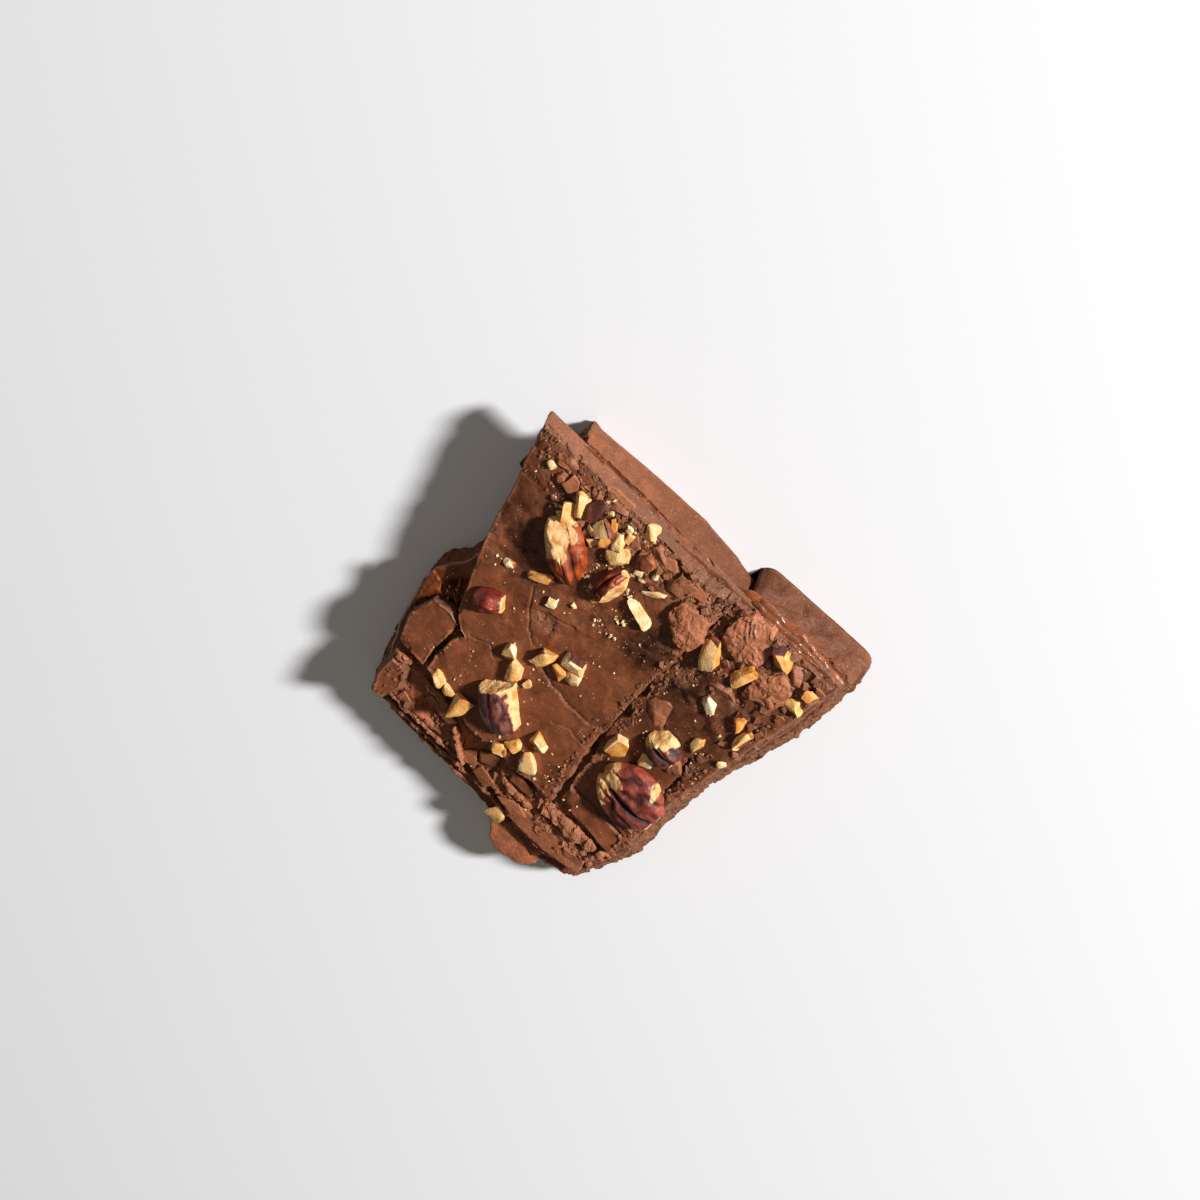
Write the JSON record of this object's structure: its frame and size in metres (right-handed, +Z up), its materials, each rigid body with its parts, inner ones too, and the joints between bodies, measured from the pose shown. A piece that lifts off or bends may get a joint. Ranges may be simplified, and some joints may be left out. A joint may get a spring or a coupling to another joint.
{
  "type": "chocolate bark",
  "caption": "Broken slab of milk chocolate bark with a caramel seam, a cracked and craggy top, chopped nuts and pecan pieces; a sweet to lay on a plate or in a dish.",
  "frame": {"origin": "middle of the slab's underside", "axes": "+Z up from the underside to the nut-strewn top; +Y from the long cut front edge to the broken back; +X to the right along the front edge"},
  "size_m": [0.098, 0.1106, 0.0198],
  "materials": {
    "milk_chocolate": "satin milk chocolate, matt and paler where it is broken",
    "caramel": "glossy soft caramel",
    "pecan": "satin brown pecan skin with cream flesh at the breaks",
    "chopped_nuts": "dry cream to golden nut flesh"
  },
  "bodies": {
    "root": {"base_chocolate": "milk_chocolate", "caramel_layer": "caramel", "top_chocolate": "milk_chocolate", "pecan_1": "pecan", "pecan_2": "pecan", "pecan_3": "pecan", "pecan_4": "pecan", "pecan_5": "pecan", "pecan_6": "pecan"}
  },
  "joints": []
}
